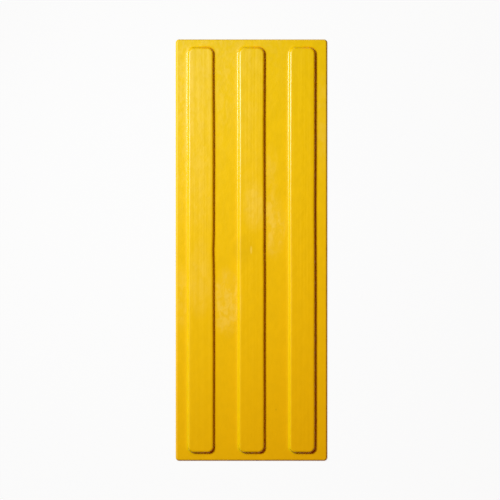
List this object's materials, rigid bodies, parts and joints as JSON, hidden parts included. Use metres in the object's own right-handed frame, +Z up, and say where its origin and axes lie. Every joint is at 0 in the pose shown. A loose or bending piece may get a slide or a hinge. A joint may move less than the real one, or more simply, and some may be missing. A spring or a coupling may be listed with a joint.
{
  "type": "tactile paving slab",
  "caption": "Thin rectangular floor slab with flat-topped raised bars along its length, felt underfoot or by a cane as a guide in the direction of travel.",
  "frame": {"origin": "middle of the flat underside, on the floor", "axes": "+Z up, out of the barred face; +Y along the bars, the direction of travel; +X across the bars"},
  "size_m": [0.18, 0.5, 0.007],
  "materials": {
    "moulded_polymer": "satin"
  },
  "bodies": {
    "root": {"tactile_slab": "moulded_polymer"}
  },
  "joints": []
}
